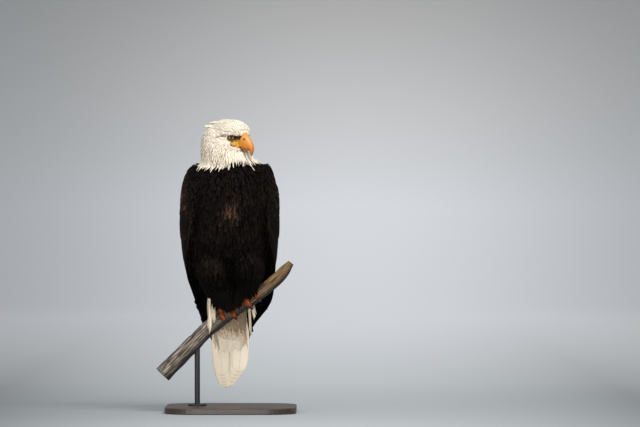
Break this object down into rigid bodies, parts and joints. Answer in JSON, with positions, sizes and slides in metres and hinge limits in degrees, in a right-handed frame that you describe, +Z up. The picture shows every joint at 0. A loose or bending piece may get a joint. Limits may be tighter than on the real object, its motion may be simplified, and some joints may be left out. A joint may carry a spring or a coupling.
{
  "type": "bald eagle",
  "caption": "Life-size adult bald eagle, perched upright on a sloping cut length of dead branch, head turned to its left, held by a rod on a flat display base.",
  "frame": {"origin": "middle of the display base's underside, on the floor", "axes": "+Z up; the eagle's breast faces -Y and its left side is +X, so its head, turned to its left, looks towards +X and -Y"},
  "size_m": [0.3582, 0.3, 0.7614],
  "materials": {
    "white_feathers": "soft matte feathers",
    "dark_feathers": "soft matte feathers with a slight sheen",
    "bill_horn": "smooth horn, satin",
    "eye": "wet and glossy",
    "foot_skin": "scaly skin, matte",
    "talon_horn": "polished horn",
    "dead_wood": "weathered, bare and cracked",
    "stand_steel": "satin black paint",
    "stand_wood": "dark stained, satin"
  },
  "bodies": {
    "root": {"head": "white_feathers", "neck": "white_feathers", "tail": "white_feathers", "rump_coverts": "white_feathers", "undertail_coverts": "white_feathers", "trunk": "dark_feathers", "wing_right": "dark_feathers", "wing_left": "dark_feathers", "thigh_right": "dark_feathers", "thigh_left": "dark_feathers", "bill_upper": "bill_horn", "bill_lower": "bill_horn", "eye_right": "eye", "eye_left": "eye", "foot_right": "foot_skin", "foot_left": "foot_skin", "claw_right_inner": "talon_horn", "claw_right_middle": "talon_horn", "claw_right_outer": "talon_horn", "claw_right_hind": "talon_horn", "claw_left_inner": "talon_horn", "claw_left_middle": "talon_horn", "claw_left_outer": "talon_horn", "claw_left_hind": "talon_horn", "perch_branch": "dead_wood", "stand_rod": "stand_steel", "stand_base": "stand_wood"}
  },
  "joints": []
}
